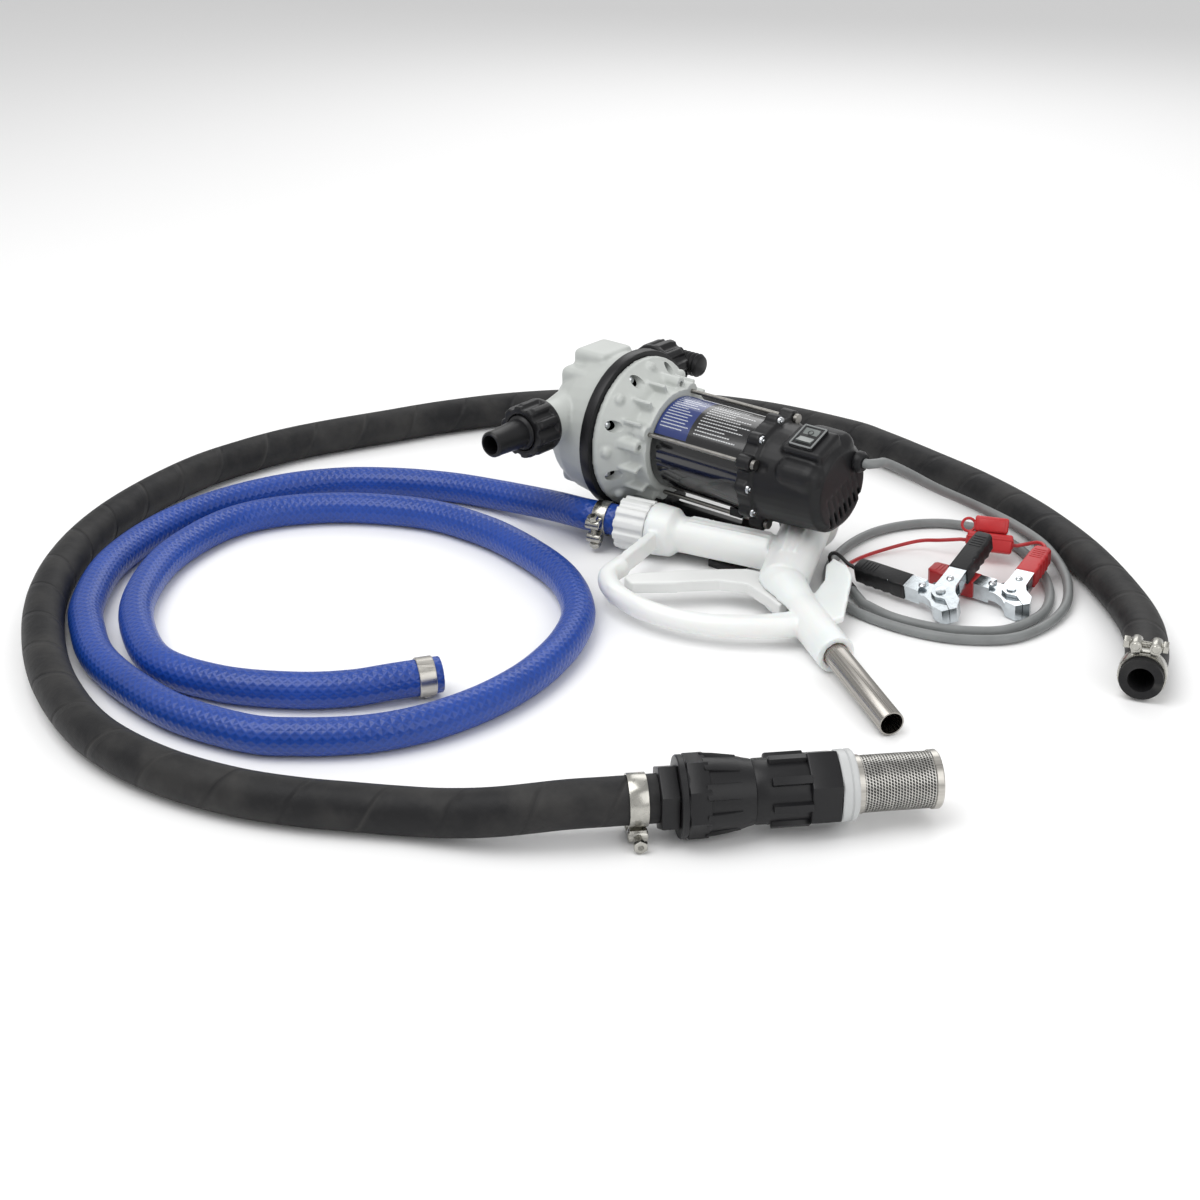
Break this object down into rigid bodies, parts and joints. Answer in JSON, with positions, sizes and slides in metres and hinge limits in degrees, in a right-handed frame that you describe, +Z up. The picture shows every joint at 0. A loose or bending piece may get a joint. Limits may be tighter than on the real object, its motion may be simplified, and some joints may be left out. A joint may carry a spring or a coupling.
{
  "type": "fluid transfer pump",
  "caption": "Electric diaphragm transfer pump kit: motor pump on a base, suction hose with foot valve and strainer, delivery hose with trigger nozzle, fused cable with battery clips.",
  "frame": {"origin": "on the floor under the motor axis, at the underside of the base", "axes": "+X along the motor axis from the pump head to the end cap, -Y the side the near port points to, +Z up"},
  "size_m": [0.8759, 0.8509, 0.156],
  "materials": {
    "head_grey": "satin light grey moulding",
    "black_plastic": "satin black moulding",
    "motor_gloss": "gloss black paint",
    "rubber_black": "matt wrapped rubber",
    "hose_blue": "satin blue braided hose",
    "nozzle_white": "satin white moulding",
    "cable_grey": "satin grey sheath",
    "red_plastic": "satin red vinyl",
    "steel": "plated steel",
    "dark_steel": "laminated steel",
    "copper": "turned copper",
    "carbon": "dull carbon",
    "magnet": "ground ferrite",
    "switch_grey": "translucent grey rocker",
    "seal_grey": "light grey ring"
  },
  "bodies": {
    "kit": {"base_foot": "black_plastic", "black_core": "rubber_black", "brush_lower": "carbon", "brush_plate": "carbon", "brush_upper": "carbon", "cable_gland": "black_plastic", "cable_split": "cable_grey", "chamber_cap": "nozzle_white", "clip_black_lower": "steel", "clip_red_upper": "steel", "delivery_end_clamp": "steel", "delivery_hose": "hose_blue", "diaphragm_ring": "black_plastic", "drive_housing": "head_grey", "end_cap": "black_plastic", "far_elbow": "black_plastic", "far_union_nut": "black_plastic", "foot_valve_body": "black_plastic", "front_bearing": "steel", "fuse_body": "red_plastic", "fused_lead": "red_plastic", "magnet_lower": "magnet", "magnet_upper": "magnet", "motor_can": "motor_gloss", "near_spigot": "black_plastic", "near_union_nut": "black_plastic", "nozzle_body": "nozzle_white", "nozzle_clamp": "steel", "nozzle_tail_nut": "nozzle_white", "port_head": "head_grey", "power_cable": "cable_grey", "rear_bearing": "steel", "red_core": "red_plastic", "seal_ring": "seal_grey", "spout": "steel", "strainer_adapter": "black_plastic", "strainer_basket": "steel", "strainer_clamp": "steel", "strainer_coupling": "black_plastic", "suction_end_clamp": "steel", "suction_hose": "rubber_black", "switch_bezel": "black_plastic", "tie_rod_1": "steel", "tie_rod_2": "steel", "tie_rod_3": "steel", "tie_rod_4": "steel", "valve_plate": "black_plastic"},
    "rotor": {"armature_shaft": "steel", "armature_core": "dark_steel", "commutator": "copper", "wobble_hub": "steel"},
    "wobble": {"wobble_plate": "head_grey", "wobble_bearing": "steel"},
    "rocker": {"switch_rocker": "switch_grey"},
    "trigger": {"trigger_lever": "nozzle_white"},
    "stem": {"valve_stem": "steel"},
    "poppet": {"foot_valve_poppet": "nozzle_white"},
    "black_jaw": {"clip_black_upper": "steel"},
    "red_jaw": {"clip_red_lower": "steel"},
    "lid": {"fuse_lid": "red_plastic"}
  },
  "joints": [
    {"name": "motor_spin", "type": "hinge", "parent": "kit", "child": "rotor", "pos_m": [0, 0, 0.086], "axis": [1, 0, 0], "continuous": true},
    {"name": "wobble_counter", "type": "hinge", "parent": "rotor", "child": "wobble", "pos_m": [-0.08, 0, 0.086], "axis": [0.9976, 0.0698, 0], "continuous": true},
    {"name": "rocker_switch", "type": "hinge", "parent": "kit", "child": "rocker", "pos_m": [0.094, -0.01577, 0.12708], "axis": [1, 0, 0], "range_deg": [0, 9]},
    {"name": "trigger_pull", "type": "hinge", "parent": "kit", "child": "trigger", "pos_m": [0.09595, -0.07138, 0.02086], "axis": [-0.0268, 0.0464, -0.9986], "range_deg": [0, 17], "stiffness_Nm_per_rad": 0.6, "springref_deg": -14.32},
    {"name": "valve_lift", "type": "slide", "parent": "kit", "child": "stem", "axis": [-0.3943, 0.9174, 0.0532], "range_m": [0, 0.005]},
    {"name": "foot_valve_lift", "type": "slide", "parent": "kit", "child": "poppet", "axis": [-0.6807, -0.7325, 0], "range_m": [0, 0.006], "stiffness_N_per_m": 60, "springref_m": -0.003},
    {"name": "clip_black_open", "type": "hinge", "parent": "kit", "child": "black_jaw", "pos_m": [0.211, 0.008, 0.0145], "axis": [-0.007, -0.2945, 0.9556], "range_deg": [0, 30], "stiffness_Nm_per_rad": 1.2, "springref_deg": -17.19},
    {"name": "clip_red_open", "type": "hinge", "parent": "kit", "child": "red_jaw", "pos_m": [0.249, 0.053, 0.0107], "axis": [-0.012, 0.14, -0.9901], "range_deg": [0, 30], "stiffness_Nm_per_rad": 1.2, "springref_deg": -17.19},
    {"name": "fuse_lid_open", "type": "hinge", "parent": "kit", "child": "lid", "pos_m": [0.18512, 0.13458, 0.01993], "axis": [-0.9057, -0.4236, 0.0172], "range_deg": [0, 60]}
  ],
  "couplings": [
    {"joint": "wobble_counter", "follows": "motor_spin", "ratio": -1},
    {"joint": "valve_lift", "follows": "trigger_pull", "m_per_rad": 0.016835}
  ]
}
